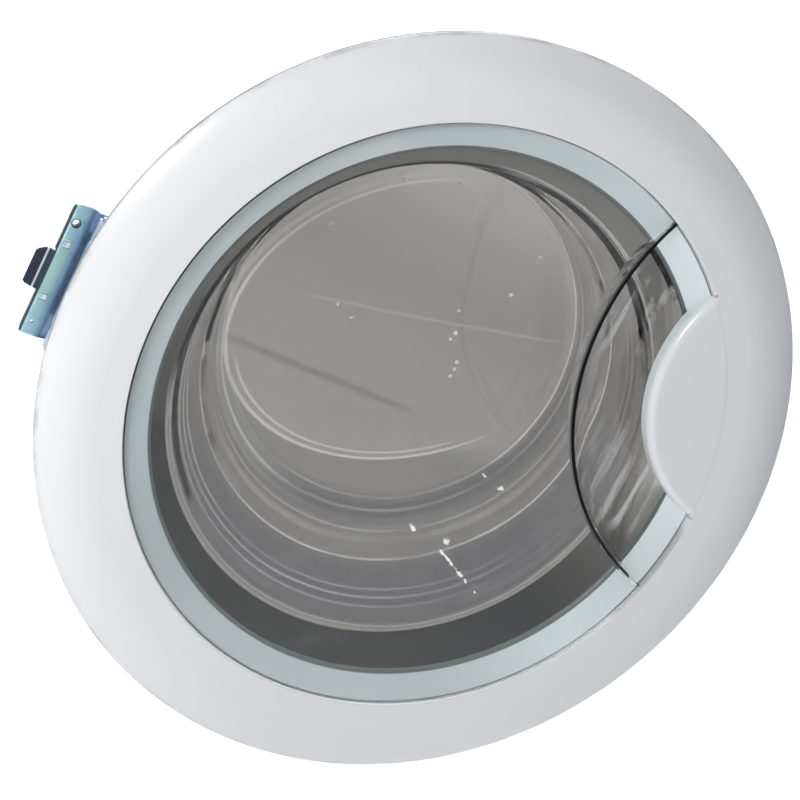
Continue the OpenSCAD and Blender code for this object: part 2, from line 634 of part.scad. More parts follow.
module hinge_arm() color([0.60, 0.68, 0.72]) stand() difference() {
    union() {
        at_hinge() bar(knuckle_r, -mid_knuckle + 1.1, mid_knuckle - 1.1);
        // Strap from under the knuckle into the frame
        translate([-hinge_x, -mid_knuckle + 1.1, arm_z - steel]) cube([12, 2 * mid_knuckle - 2.2, steel]);
        translate([-hinge_x + 8, 0, arm_z - steel]) linear_extrude(steel) hull() {
            translate([0, -mid_knuckle + 1.1]) square([1, 2 * mid_knuckle - 2.2]);
            for (s = [-1, 1]) translate([hinge_x - 8 - arm_in - 7, s * 22]) circle(r = 7, $fn = 48);
        }
    }
    at_hinge() bar(3.2 + 0.02, -50, 50);
    for (s = [-1, 1]) translate([-hinge_screw_x, s * hinge_screw_y, arm_z - 10]) cylinder(h = 20, r = 2.7, $fn = 32);
    translate([-hinge_screw_x - 4, 0, arm_z - 10]) cylinder(h = 20, r = 6, $fn = 48);
}

module hinge_backing() color([0.68, 0.70, 0.72]) stand()
    translate([-hinge_screw_x, 0, -frame_depth + backing[2] / 2 + 0.1]) difference() {
        cube([backing[0] - 0.6, backing[1] - 0.6, backing[2] - 0.2], center = true);
        for (s = [-1, 1]) translate([0, s * hinge_screw_y, -5]) cylinder(h = 10, r = 2.52, $fn = 32);
        translate([0, 0, -5]) cylinder(h = 10, r = 5, $fn = 48);
    }

module hinge_screws() color([0.78, 0.79, 0.80]) stand() for (s = [-1, 1])
    translate([-hinge_screw_x, s * hinge_screw_y, arm_z]) {
        translate([0, 0, -frame_depth - arm_z - 1]) cylinder(h = frame_depth + arm_z + 1.5, r = 2.5, $fn = 32);
        difference() {
            cylinder(h = 3, r = 4.6, $fn = 48);
            translate([0, 0, 1.2]) cylinder(h = 2, r = 2.2, $fn = 6);
        }
    }

outer_ring();
clear_cover();
inner_frame();
glass_bowl();
frame_screws();
handle_lever();
lever_pin();
pin_clips();
lever_spring();
catch_hook();
hook_pin();
hook_spring();
hook_guide();
guide_screws();
hinge_leaf();
hinge_pin();
hinge_bushes();
hinge_arm();
hinge_backing();
hinge_screws();
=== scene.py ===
import bpy
from math import cos, pi, radians, sin
from mathutils import Matrix, Vector


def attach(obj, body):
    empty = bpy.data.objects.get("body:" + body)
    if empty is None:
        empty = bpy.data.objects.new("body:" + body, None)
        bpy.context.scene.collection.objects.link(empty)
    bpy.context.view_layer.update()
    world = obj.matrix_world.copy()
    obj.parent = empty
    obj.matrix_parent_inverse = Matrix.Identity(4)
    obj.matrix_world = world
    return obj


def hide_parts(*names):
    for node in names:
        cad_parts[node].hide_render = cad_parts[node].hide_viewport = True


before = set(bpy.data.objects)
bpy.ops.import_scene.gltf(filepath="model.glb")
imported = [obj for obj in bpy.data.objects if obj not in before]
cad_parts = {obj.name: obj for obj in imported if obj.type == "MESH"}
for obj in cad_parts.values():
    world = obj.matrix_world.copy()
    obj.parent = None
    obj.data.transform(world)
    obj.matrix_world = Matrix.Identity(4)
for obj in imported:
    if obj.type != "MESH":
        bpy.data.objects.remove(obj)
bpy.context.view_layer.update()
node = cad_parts


# The view: the door lay face up and was photographed from the hinge side, a little from above,
# with a long lens and the camera rolled. Here the door hangs upright and the camera keeps that angle.
LENS_MM = 90
SENSOR_MM = 36
EYE = (-0.5063, -1.0423, 0.2750)
TO_THE_RIGHT, DOWN, ROLL = 25.42, 13.48, 27.27
camera = bpy.data.objects.new("camera", bpy.data.cameras.new("camera"))
camera.data.lens = LENS_MM
camera.data.sensor_width = SENSOR_MM
camera.data.clip_start = 0.05
camera.data.clip_end = 60
camera.matrix_world = (Matrix.Translation(EYE) @ Matrix.Rotation(radians(-TO_THE_RIGHT), 4, "Z")
                       @ Matrix.Rotation(radians(90 - DOWN), 4, "X") @ Matrix.Rotation(radians(ROLL), 4, "Z"))
bpy.context.scene.collection.objects.link(camera)
bpy.context.scene.camera = camera


# The stage: a pale floor that curves up all round into a wall, a soft window on the hinge side, three
# lamps that light floor and walls alone, and an even sky. The plain view transform keeps white white.
FLOOR_Z = -0.36
FLOOR_R, COVE_R, WALL_TOP = 4.6, 2.2, 3.2
FLOOR_RINGS, COVE_STEPS, COVE_SIDES = 4, 12, 96
PALE, PALE_ROUGHNESS = (0.92, 0.92, 0.92, 1), 0.9
LAMPS = (  # name, place, what it points at, width, power, colour
    ("window", (-0.88, -0.66, 0.28), (-0.02, 0, 0.0), 0.34, 6.9, (1.0, 0.97, 0.955)),
    ("floor_lamp", (0.4, 1.4, 2.6), (0.3, 1.2, FLOOR_Z), 2.4, 104, (1.0, 1.0, 1.0)),
    ("wall_lamp", (1.6, 3.6, 2.4), (2.8, 6.4, 0.4), 2.4, 108, (1.0, 1.0, 1.0)),
    ("front_wall_lamp", (0.6, -3.6, 2.4), (1.2, -6.4, 1.2), 2.4, 60, (1.0, 1.0, 1.0)))
SKY, SKY_STRENGTH = (0.83, 0.925, 1.0, 1), 0.205


class Socket:
    """A node's socket. An expression on it adds the Math nodes that work it out."""

    def __init__(self, graph, socket):
        self.graph = graph
        self.socket = socket

    def math(self, operation, *values):
        return self.graph.add("ShaderNodeMath", {"operation": operation}, values)[0]

    def __add__(self, other): return self.math("ADD", self, other)
    def __radd__(self, other): return self.math("ADD", other, self)
    def __sub__(self, other): return self.math("SUBTRACT", self, other)
    def __rsub__(self, other): return self.math("SUBTRACT", other, self)
    def __mul__(self, other): return self.math("MULTIPLY", self, other)
    def __rmul__(self, other): return self.math("MULTIPLY", other, self)
    def __truediv__(self, other): return self.math("DIVIDE", self, other)
    def __rtruediv__(self, other): return self.math("DIVIDE", other, self)
    def __pow__(self, other): return self.math("POWER", self, other)
    def __mod__(self, other): return self.math("MODULO", self, other)
    def __abs__(self): return self.math("ABSOLUTE", self)
    def floor(self): return self.math("FLOOR", self)
    def cos(self): return self.math("COSINE", self)
    def sin(self): return self.math("SINE", self)
    def clip(self, low, high): return self.math("MAXIMUM", self.math("MINIMUM", self, high), low)

    def step(self, low, high):
        """Runs smoothly from 0 at low to 1 at high, or down from 1 where high is the smaller."""
        return self.graph.add("ShaderNodeMapRange", {"interpolation_type": "SMOOTHSTEP", "clamp": True},
                              {"Value": self, "From Min": low, "From Max": high})[0]

    def within(self, low, high, soft):
        """1 between low and high, 0 outside, with soft edges."""
        return self.step(low - soft, low + soft) * self.step(high + soft, high - soft)


class Graph:
    """Nodes and links of a material or of a Geometry Nodes tree."""

    def add(self, kind, settings, values):
        """Adds a node: its settings first, then the values or links of its sockets."""
        made = self.nodes.new(kind)
        for name, value in settings.items():
            if name == "items":
                while len(made.index_switch_items) < value:
                    made.index_switch_items.new()
            else:
                setattr(made, name, value)
        for key, value in values.items() if isinstance(values, dict) else enumerate(values):
            if isinstance(value, Socket):
                self.links.new(value.socket, made.inputs[key])
            else:
                made.inputs[key].default_value = value
        return {key: Socket(self, s) for key, s in [*made.outputs.items(), *enumerate(made.outputs)]}


EDGE_TO_REAR = 0.040  # from the plane of the ring's inner edge to the back frame's rear face, at Y = 0


class Finish(Graph):
    """A material under construction, on the object's own coordinates in metres."""

    def __init__(self, name):
        self.material = bpy.data.materials.new(name)
        self.material.use_nodes = True
        self.nodes = self.material.node_tree.nodes
        self.links = self.material.node_tree.links
        self.nodes.clear()
        self.output = self.nodes.new("ShaderNodeOutputMaterial")
        self.place = self.add("ShaderNodeTexCoord", {}, {})["Object"]
        self.x, self.y, self.z = (self.add("ShaderNodeSeparateXYZ", {}, [self.place])[axis] for axis in "XYZ")
        # How far a point lies behind the plane of the ring's inner edge, and from the door's axis
        self.depth = self.y + EDGE_TO_REAR
        self.radius = (self.x * self.x + self.z * self.z) ** 0.5

    def toward(self, degrees, low, high):
        """1 on the side of the door that lies in that direction, 0 on the others."""
        turn = radians(degrees)
        return ((cos(turn) * self.x + sin(turn) * self.z) / self.radius).step(low, high)

    def noise(self, scale, detail=3.0, stretch=(1, 1, 1), turn=(0, 0, 0)):
        """Even noise from 0 to 1, with scale in cells to the metre."""
        spread = self.add("ShaderNodeMapping", {}, {
            "Vector": self.place, "Scale": stretch, "Rotation": turn})["Vector"]
        return self.add("ShaderNodeTexNoise", {}, {"Vector": spread, "Scale": scale, "Detail": detail})["Fac"]

    def specks(self, scale, size):
        """Scattered round specks: 1 in the middle of each, 0 outside it."""
        cells = self.add("ShaderNodeTexVoronoi", {}, {"Vector": self.place, "Scale": scale})
        return cells["Distance"].step(size, size * 0.4)

    def blend(self, factor, first, second):
        """Mixes two colours."""
        made = self.nodes.new("ShaderNodeMix")
        made.data_type = "RGBA"
        for key, value in (("Factor", factor), ("A", first), ("B", second)):
            socket = [s for s in made.inputs if s.name == key and s.enabled][0]
            if isinstance(value, Socket):
                self.links.new(value.socket, socket)
            else:
                socket.default_value = (*value, 1) if isinstance(value, tuple) else value
        return Socket(self, [s for s in made.outputs if s.enabled][0])

    def bump(self, height, strength, distance):
        return self.add("ShaderNodeBump", {}, {
            "Height": height, "Strength": strength, "Distance": distance})["Normal"]

    def surface(self, **values):
        """Makes the main shader from its sockets, with spaces written as underscores."""
        made = self.add("ShaderNodeBsdfPrincipled", {}, {k.replace("_", " "): v for k, v in values.items()})
        self.show(made["BSDF"])

    def show(self, shader):
        self.links.new(shader.socket, self.output.inputs["Surface"])

    def dress(self, *names):
        """Gives CAD nodes this finish in every material slot."""
        for name in names:
            for slot in node[name].material_slots:
                slot.material = self.material


profile = [(FLOOR_R * i / FLOOR_RINGS, FLOOR_Z) for i in range(1, FLOOR_RINGS + 1)]
profile += [(FLOOR_R + COVE_R * sin(a), FLOOR_Z + COVE_R * (1 - cos(a)))
            for a in (pi / 2 * i / COVE_STEPS for i in range(1, COVE_STEPS + 1))]
profile.append((FLOOR_R + COVE_R, WALL_TOP))
corners = [(0, 0, FLOOR_Z)] + [(r * cos(2 * pi * k / COVE_SIDES), r * sin(2 * pi * k / COVE_SIDES), h)
                               for r, h in profile for k in range(COVE_SIDES)]
faces = [(0, 1 + k, 1 + (k + 1) % COVE_SIDES) for k in range(COVE_SIDES)]
for i in range(len(profile) - 1):
    for k in range(COVE_SIDES):
        a, b = 1 + i * COVE_SIDES + k, 1 + i * COVE_SIDES + (k + 1) % COVE_SIDES
        faces.append((a, a + COVE_SIDES, b + COVE_SIDES, b))
cove = bpy.data.objects.new("pale_floor", bpy.data.meshes.new("pale_floor"))
cove.data.from_pydata(corners, [], faces)
cove.data.shade_smooth()
pale = Finish("pale_floor")
pale.surface(Base_Color=PALE, Roughness=PALE_ROUGHNESS)
cove.data.materials.append(pale.material)
bpy.context.scene.collection.objects.link(cove)

for name, place, target, size, watts, colour in LAMPS:
    lamp = bpy.data.objects.new(name, bpy.data.lights.new(name, "AREA"))
    lamp.data.shape = "DISK"
    lamp.data.size = size
    lamp.data.energy = watts
    lamp.data.color = colour
    lamp.visible_camera = False
    lamp.visible_transmission = False
    lamp.location = place
    lamp.rotation_euler = (Vector(target) - Vector(place)).to_track_quat("-Z", "Y").to_euler()
    bpy.context.scene.collection.objects.link(lamp)

sky = bpy.data.worlds.new("pale_sky")
sky.use_nodes = True
sky.node_tree.nodes["Background"].inputs["Color"].default_value = SKY
sky.node_tree.nodes["Background"].inputs["Strength"].default_value = SKY_STRENGTH
bpy.context.scene.world = sky
bpy.context.scene.view_settings.view_transform = "Standard"


# Front ring and lever: white ABS from a polished mould, with dust and faint scuffs, grime with painted
# shade on the rolled rim, and painted shade as a dark edge behind the rim. The band under the cover is
# greener, with painted light towards the hinge and painted shade below. Painted shade lies in the gap
# round the cover's rim, darkest at the hinge and at the pocket's lower end, and on the band's inner lip.
RIM_R, EYE_R, BAND_R = 0.2300, 0.1822, 0.1653
RIM_BACK, BAND_FROM, GAP_SHADE_TO, LIP_FROM = 0.0102, 0.0020, 0.0062, 0.0110  # depths
WHITE, WHITE_PALE = (0.708, 0.722, 0.745), (0.747, 0.758, 0.778)
BAND, BAND_PAINTED_LIGHT, BAND_PAINTED_SHADE = (0.670, 0.728, 0.752), (0.870, 0.905, 0.935), (0.430, 0.460, 0.482)
DUST, GRIME_AND_SHADE, EDGE_SHADE = (0.42, 0.40, 0.37), (0.30, 0.29, 0.28), (0.055, 0.055, 0.060)
GAP_SHADE, LIP_SHADE = (0.014, 0.018, 0.020), (0.020, 0.045, 0.040)
GAP_SHADE_SIDE, POCKET_END = 165, -12  # directions in degrees, seen from the front
white = Finish("white_moulding")
hairs = white.noise(260.0, 2.0, (1, 1, 0.06), (0, 0.5, 0)).step(0.74, 0.80)
dust = white.specks(420.0, 0.16) * white.noise(25.0, 2.0).step(0.45, 0.7)
# Grime and painted shade on the outer rim, where it rolls away
grime_and_shade = white.radius.step(RIM_R - 0.0028, RIM_R) * white.noise(60.0, 3.0).step(0.35, 0.7)
# Painted shade: a dark edge behind the rim
edge_shade = white.radius.step(RIM_R - 0.0015, RIM_R - 0.0008) * white.depth.step(RIM_BACK, RIM_BACK + 0.0010)
edge_shade = edge_shade * (0.45 + 0.55 * white.noise(16.0, 2.0).step(0.30, 0.60))
band = white.radius.step(EYE_R + 0.0003, EYE_R - 0.0003) * white.depth.step(BAND_FROM, BAND_FROM + 0.0012)
# Painted shade in the gap round the cover's rim, strongest at the hinge and at the pocket's lower end
gap_shade = white.radius.within(EYE_R - 0.0012, EYE_R + 0.0007, 0.0002) * white.depth.step(GAP_SHADE_TO, GAP_SHADE_TO - 0.0004)
gap_shade = gap_shade * (0.06 + 0.92 * white.toward(GAP_SHADE_SIDE, 0.55, 0.95) + 0.3 * white.toward(POCKET_END, 0.975, 0.988))
# Painted shade on the band's inner lip
lip_shade = white.radius.step(BAND_R + 0.0022, BAND_R + 0.0014) * white.depth.step(LIP_FROM, LIP_FROM + 0.0004)
# Painted light on the band towards the hinge, painted shade on its lower side
band_tone = white.blend(white.toward(155, 0.76, 0.93), BAND, BAND_PAINTED_LIGHT)
band_tone = white.blend(white.toward(262, 0.36, 0.85), band_tone, BAND_PAINTED_SHADE)
skin = white.blend(white.noise(7.0, 2.0), WHITE, WHITE_PALE)
skin = white.blend(band, skin, band_tone)
skin = white.blend(0.5 * dust, skin, DUST)
skin = white.blend(0.55 * grime_and_shade, skin, GRIME_AND_SHADE)
skin = white.blend(0.75 * edge_shade, skin, EDGE_SHADE)
skin = white.blend(gap_shade, skin, GAP_SHADE)
skin = white.blend(0.9 * lip_shade, skin, LIP_SHADE)
white.surface(
    Base_Color=skin,
    Roughness=0.24 + 0.20 * hairs + 0.25 * dust + 0.25 * grime_and_shade,
    IOR=1.53,
    Normal=white.bump(white.noise(38.0, 1.0), 0.10, 0.003),
)
white.dress("outer_ring", "handle_lever")


# Clear cover: moulded acrylic with the finger pocket in it, polished, a little green, with hairline
# scratches from wiping. Painted shade darkens its rim, most at the hinge, a black line is painted along
# the fold at the pocket's edge for its internal reflection, and pale streaks of painted reflection lie
# in the pocket.
GRIP_ANGLE = radians(24.9)
COVER_R, POCKET_AT, POCKET_R = 0.1816, 0.2426, 0.1569
ACRYLIC, ACRYLIC_IOR, COVER_RIM_SHADE = (0.92, 0.950, 0.950), 1.49, (0.02, 0.025, 0.03)
FOLD_REFLECTION_INK, STREAK_REFLECTION_INK = (0.003, 0.003, 0.004), (0.86, 0.88, 0.90)


def clear(finish, tint, roughness, ior, normal, marks, ink):
    """Clear stuff that bends what is seen through it and lets the lamps' light pass, with marks of painted light and
    shade on it.
    """
    body = finish.add("ShaderNodeBsdfPrincipled", {}, {
        "Base Color": tint, "Roughness": roughness, "IOR": ior, "Transmission Weight": 1.0, "Normal": normal})["BSDF"]
    mark = finish.add("ShaderNodeBsdfPrincipled", {}, {
        "Base Color": ink, "Roughness": 0.6, "Specular IOR Level": 0.1})["BSDF"]
    marked = finish.add("ShaderNodeMixShader", {}, [marks, body, mark])["Shader"]
    open_way = finish.add("ShaderNodeBsdfTransparent", {}, {"Color": (0.8, 0.8, 0.8, 1)})["BSDF"]
    lamp_ray = finish.add("ShaderNodeLightPath", {}, {})["Is Shadow Ray"]
    finish.show(finish.add("ShaderNodeMixShader", {}, [lamp_ray, marked, open_way])["Shader"])


cover = Finish("clear_moulding")
wiped = cover.noise(300.0, 2.0, (1, 1, 0.05), (0, 0.9, 0)).step(0.70, 0.78)
# Painted shade on the cover's rim, strongest at the hinge
cover_rim_shade = cover.radius.step(COVER_R - 0.0004, COVER_R) * (0.15 + 0.85 * cover.toward(GAP_SHADE_SIDE, 0.55, 0.95))
# How far a point lies outside the arc of the pocket's long edge
past_edge = ((cover.x - POCKET_AT * cos(GRIP_ANGLE)) ** 2 + (cover.z - POCKET_AT * sin(GRIP_ANGLE)) ** 2) ** 0.5
past_edge = past_edge - POCKET_R
# The painted black line of the fold's reflection widens upwards and ends short of the pocket's lower end
reflection_width = -0.0003 + 0.0024 * cover.z.step(-0.070, 0.010)
fold_reflection = past_edge.step(-0.0016, -0.0012) * (past_edge - reflection_width).step(0.0003, -0.0001)
fold_reflection = fold_reflection * cover.depth.step(0.0050, 0.0035)
fold_reflection = fold_reflection * (1 - cover.z.step(-0.030, -0.050) * cover.radius.step(0.1700, 0.1730))
# Pale streaks of painted reflection in the pocket
reflection_streaks = past_edge.step(-0.003, -0.006) * cover.depth.step(0.0045, 0.0060)
reflection_streaks = reflection_streaks * cover.noise(150.0, 3.0, (1, 1, 0.10)).step(0.52, 0.66) * cover.noise(22.0, 2.0).step(0.40, 0.62)
clear(cover,
      tint=cover.blend(cover_rim_shade, ACRYLIC, COVER_RIM_SHADE),
      roughness=0.01 + 0.08 * wiped,
      ior=ACRYLIC_IOR,
      normal=cover.bump(cover.noise(16.0, 1.0), 0.10, 0.004),
      marks=0.97 * fold_reflection + 0.34 * reflection_streaks,
      ink=cover.blend(fold_reflection, STREAK_REFLECTION_INK, FOLD_REFLECTION_INK))
cover.dress("clear_cover")


# Glass bowl: pressed glass, smoky. Its wall has zones of painted shade, and painted lines that follow the
# slanted levels of the bowl, pale ones of painted reflection and dark ones of painted shade, most of them
# low and towards the hinge; a pale double ring of painted highlight, with painted shade on its low side,
# and two long marks from wiping cross its floor. Painted shade blackens the neck towards the top, painted
# highlights line its edges, painted light brightens the glass in front of it at the top, and white glints
# are painted on the wall.
NECK, NECK_R, FLOOR, RISE, SLANT = 0.040, 0.148, 0.104, 0.025, 0.57
GLASS_IOR = 1.5
SMOKE, SMOKE_CLOUD = (0.235, 0.217, 0.196), (0.258, 0.234, 0.216)
SMOKE_PALE, SMOKE_DARK = (0.90, 0.88, 0.84), (0.085, 0.078, 0.086)
NECK_SHADE_INK, GLINT_INK, LEDGE_LIGHT_INK = (0.003, 0.003, 0.004), (0.90, 0.89, 0.86), (0.62, 0.59, 0.55)
# Painted lines on the wall: pale ones are painted reflection, dark ones painted shade
PAINTED_WALL_LINES = (  # depth, half width, share, paler or darker
    (0.0478, 0.0005, 0.45, SMOKE_PALE), (0.0500, 0.0009, 0.70, SMOKE_DARK), (0.0522, 0.0005, 0.75, SMOKE_PALE),
    (0.0541, 0.0006, 0.90, SMOKE_DARK), (0.0562, 0.0005, 0.55, SMOKE_PALE), (0.0706, 0.0004, 0.95, SMOKE_PALE),
    (0.0790, 0.0016, 0.22, SMOKE_PALE), (0.0840, 0.0005, 0.30, SMOKE_PALE), (0.0926, 0.0010, 0.60, SMOKE_DARK),
    (0.0950, 0.0006, 0.35, SMOKE_PALE), (0.0975, 0.0008, 0.50, SMOKE_DARK), (0.1014, 0.0004, 0.70, SMOKE_PALE))
LOW_MARKS = 0.060  # marks less deep than this fade away from the hinge side
NECK_HIGHLIGHT_AT, NECK_SHADE_AT, NECK_EDGE_HIGHLIGHTS_AT = 0.0387, (0.0358, 0.0417), ((0.0406, 0.0428), (0.0335, 0.0343))  # depths
LEAN_X, LEAN_Z, RING_AT = 0.401, -0.248, (0.0065, 0.0328)
RING_TURN, RING_LONG, RING_SHORT = radians(32.3), 0.1231, 0.0909
FLOOR_MARKS = (  # from, to, half width, share, paler or darker
    ((-0.102, -0.020), (0.030, -0.0235), 0.0040, 0.45, SMOKE_DARK),
    ((-0.069, 0.022), (0.102, 0.054), 0.0012, 0.13, SMOKE_PALE))
GLINTS = (  # from, to, half width
    ((0.0757, -0.0921), (0.0996, -0.1026), 0.0017), ((0.0582, -0.0887), (0.0594, -0.0892), 0.0022),
    ((0.0785, -0.0868), (0.0802, -0.0860), 0.0027), ((0.1022, -0.0452), (0.1036, -0.0444), 0.0021),
    ((0.0940, -0.0432), (0.0952, -0.0424), 0.0021), ((-0.0362, 0.0190), (-0.0346, 0.0202), 0.0018))
bowl = Finish("bowl_glass")
level = bowl.depth + 0.0012 * bowl.noise(18.0, 2.0) - 0.0006
rise = RISE * ((bowl.depth - NECK) / (FLOOR - NECK)).clip(0, 1)
out = (bowl.x * bowl.x + (bowl.z - rise) * (bowl.z - rise)) ** 0.5
inner = (out - NECK_R + SLANT * (bowl.depth - NECK)).step(0.0026, 0.0020) * bowl.depth.step(0.1062, 0.1058)
waves = bowl.noise(14.0, 2.0)


def toward(degrees, low, high):
    """1 on the side of the slanted bowl that lies in that direction, 0 on the others."""
    turn = radians(degrees)
    return ((cos(turn) * bowl.x + sin(turn) * (bowl.z - rise)) / out).step(low, high)


# Painted shade in zones of the wall, stronger below, and painted light near the floor on the hinge side, then the
# painted lines
below = 0.12 + 0.88 * toward(-75, 0.05, 0.75)
tint = bowl.blend(bowl.noise(12.0, 2.0), SMOKE, SMOKE_CLOUD)
for share, high, low, soft, colour in (
        (0.45, 0.0405, 0.1020, 0.0015, SMOKE_DARK), (0.70 * below, 0.0405, 0.0702, 0.0006, SMOKE_DARK),
        (0.50 * below, 0.0905, 0.1008, 0.0012, SMOKE_DARK),
        (0.22 * toward(195, 0.3, 0.8), 0.0920, 0.1020, 0.0010, SMOKE_PALE)):
    tint = bowl.blend(share * level.within(high, low, soft), tint, colour)
strength = (0.25 + 0.75 * bowl.noise(9.0, 2.0, (1, 8, 1)).step(0.34, 0.58)) * inner
to_hinge = 0.35 + 0.65 * toward(-150, -0.1, 0.6)
for at, half, share, colour in PAINTED_WALL_LINES:
    share = share * to_hinge if at < LOW_MARKS else share
    tint = bowl.blend(share * strength * abs(level - at).step(half * 1.7, half * 0.5), tint, colour)
# Painted highlight along the neck
neck_highlight = toward(-90, -0.2, 0.3) * abs(level - NECK_HIGHLIGHT_AT).step(0.0007, 0.0002) * inner
tint = bowl.blend(0.6 * neck_highlight, tint, SMOKE_PALE)

# A pale ring of painted highlight, an ellipse on a leaning plane, crosses from the floor to the wall on the hinge
# side, with painted shade outside it on the low side
ring_x = bowl.x + LEAN_X * (FLOOR - bowl.depth) - RING_AT[0]
ring_z = bowl.z + LEAN_Z * (FLOOR - bowl.depth) - RING_AT[1]
along_ring = cos(RING_TURN) * ring_x + sin(RING_TURN) * ring_z
across_ring = cos(RING_TURN) * ring_z - sin(RING_TURN) * ring_x
ring = ((along_ring / RING_LONG) ** 2 + (abs(across_ring) / RING_SHORT) ** 2) ** 0.5
seen = along_ring.step(0.050, 0.000) * bowl.depth.step(0.085, 0.092) * inner
seen = seen * (0.35 + 0.65 * ring_z.step(0.05, -0.03))
low_side = ring_z.step(-0.055, -0.080)
tint = bowl.blend(0.42 * low_side * ring.step(0.99, 1.01) * bowl.depth.step(0.098, 0.101), tint, SMOKE_DARK)
for at, half, share in ((1.0, 0.010, 0.75), (0.955, 0.008, 0.50 * low_side), (1.045, 0.016, 0.30 * (1 - low_side))):
    tint = bowl.blend(share * seen * abs(ring - at).step(half * 1.5, half * 0.4), tint, SMOKE_PALE)

floor_only = bowl.depth.step(0.099, 0.102)
for start, end, half, share, colour in FLOOR_MARKS:
    along = Vector(end) - Vector(start)
    length = along.length
    along.normalize()
    way = along.x * (bowl.x - start[0]) + along.y * (bowl.z - start[1])
    off = abs(along.x * (bowl.z - start[1]) - along.y * (bowl.x - start[0]) + 0.004 * waves - 0.002)
    mark = off.step(half, half * 0.1) * way.within(0.0, length, 0.02) * floor_only
    tint = bowl.blend(share * mark, tint, colour)

# Painted on the glass: shade in the neck's corner, highlights on two edges beyond it, glints on the wall, and light
# in front of the neck at the top
neck_shade = toward(145, 0.50, 0.74) * bowl.depth.within(*NECK_SHADE_AT, 0.0002)
# Painted highlights on two edges beyond the neck's corner
neck_edge_highlight = bowl.depth.within(*NECK_EDGE_HIGHLIGHTS_AT[0], 0.0002) + bowl.depth.within(*NECK_EDGE_HIGHLIGHTS_AT[1], 0.0002)
neck_edge_highlight = toward(76, 0.88, 0.97) * neck_edge_highlight
ragged = 0.0022 * bowl.noise(330.0, 1.0).step(0.30, 0.75)
# Painted glints on the wall, each a ragged white streak or spot
glints = 0.0
for start, end, wide in GLINTS:
    way = (Vector(end) - Vector(start)).normalized()
    run = way.x * (bowl.x - start[0]) + way.y * (bowl.z - start[1])
    run = run.clip(0, (Vector(end) - Vector(start)).length)
    off = ((bowl.x - start[0] - way.x * run) ** 2 + (bowl.z - start[1] - way.y * run) ** 2) ** 0.5 + ragged
    glints = off.step(wide, wide * 0.3) + glints
glints = (glints * inner).clip(0, 1)
# Painted light on the glass in front of the neck at the top
ledge_light = toward(82, -0.30, 0.55) * bowl.depth.step(0.0368, 0.0350) * (0.7 + 0.3 * bowl.noise(60.0, 3.0))
film = bowl.noise(130.0, 2.0, (1, 0.4, 1)).step(0.55, 0.8) * bowl.depth.step(0.036, 0.06)
clear(bowl,
      tint=tint,
      roughness=0.01 + 0.04 * film,
      ior=GLASS_IOR,
      normal=bowl.bump(waves, 0.26, 0.006),
      marks=(0.98 * neck_shade + 0.75 * neck_edge_highlight + 0.85 * glints + 0.34 * ledge_light).clip(0, 0.98),
      ink=bowl.blend(neck_shade, bowl.blend(ledge_light, GLINT_INK, LEDGE_LIGHT_INK), NECK_SHADE_INK))
bowl.dress("glass_bowl")


# Back frame: dark grey filled polypropylene with a fine grain, a little paler where the bellows
# rubs on its rear face, and with painted light on the ledge behind the glass towards the top.
PLASTIC, PLASTIC_PALE = (0.027, 0.0255, 0.032), (0.036, 0.034, 0.042)
FRAME_LEDGE_LIGHT, RUBBED, FLUFF = (0.60, 0.58, 0.55), (0.085, 0.085, 0.088), (0.24, 0.23, 0.21)
dark = Finish("dark_moulding")
rubbed = dark.depth.step(EDGE_TO_REAR - 0.0008, EDGE_TO_REAR) * dark.noise(90.0, 5.0, (1, 1, 0.5)).step(0.42, 0.72)
fluff = dark.specks(380.0, 0.2) * dark.noise(30.0, 2.0).step(0.5, 0.7)
# Painted light on the ledge behind the glass, towards the top
frame_ledge_light = dark.toward(60, -0.10, 0.50) * dark.radius.step(0.180, 0.176) * (0.75 + 0.25 * dark.noise(40.0, 3.0))
skin = dark.blend(dark.noise(60.0), PLASTIC, PLASTIC_PALE)
skin = dark.blend(0.85 * frame_ledge_light, skin, FRAME_LEDGE_LIGHT)
skin = dark.blend(0.35 * rubbed, skin, RUBBED)
dark.surface(
    Base_Color=dark.blend(0.35 * fluff, skin, FLUFF),
    Roughness=0.55 - 0.18 * rubbed,
    Normal=dark.bump(dark.noise(700.0, 2.0), 0.08, 0.0003),
)
dark.dress("inner_frame")


# Frame screws: nine self-tapping screws, bright zinc on steel, driven from behind through the back
# frame into the ring's bosses, 36 degrees apart with a wider gap at the hinge and at the grip.
SHARP = radians(38)


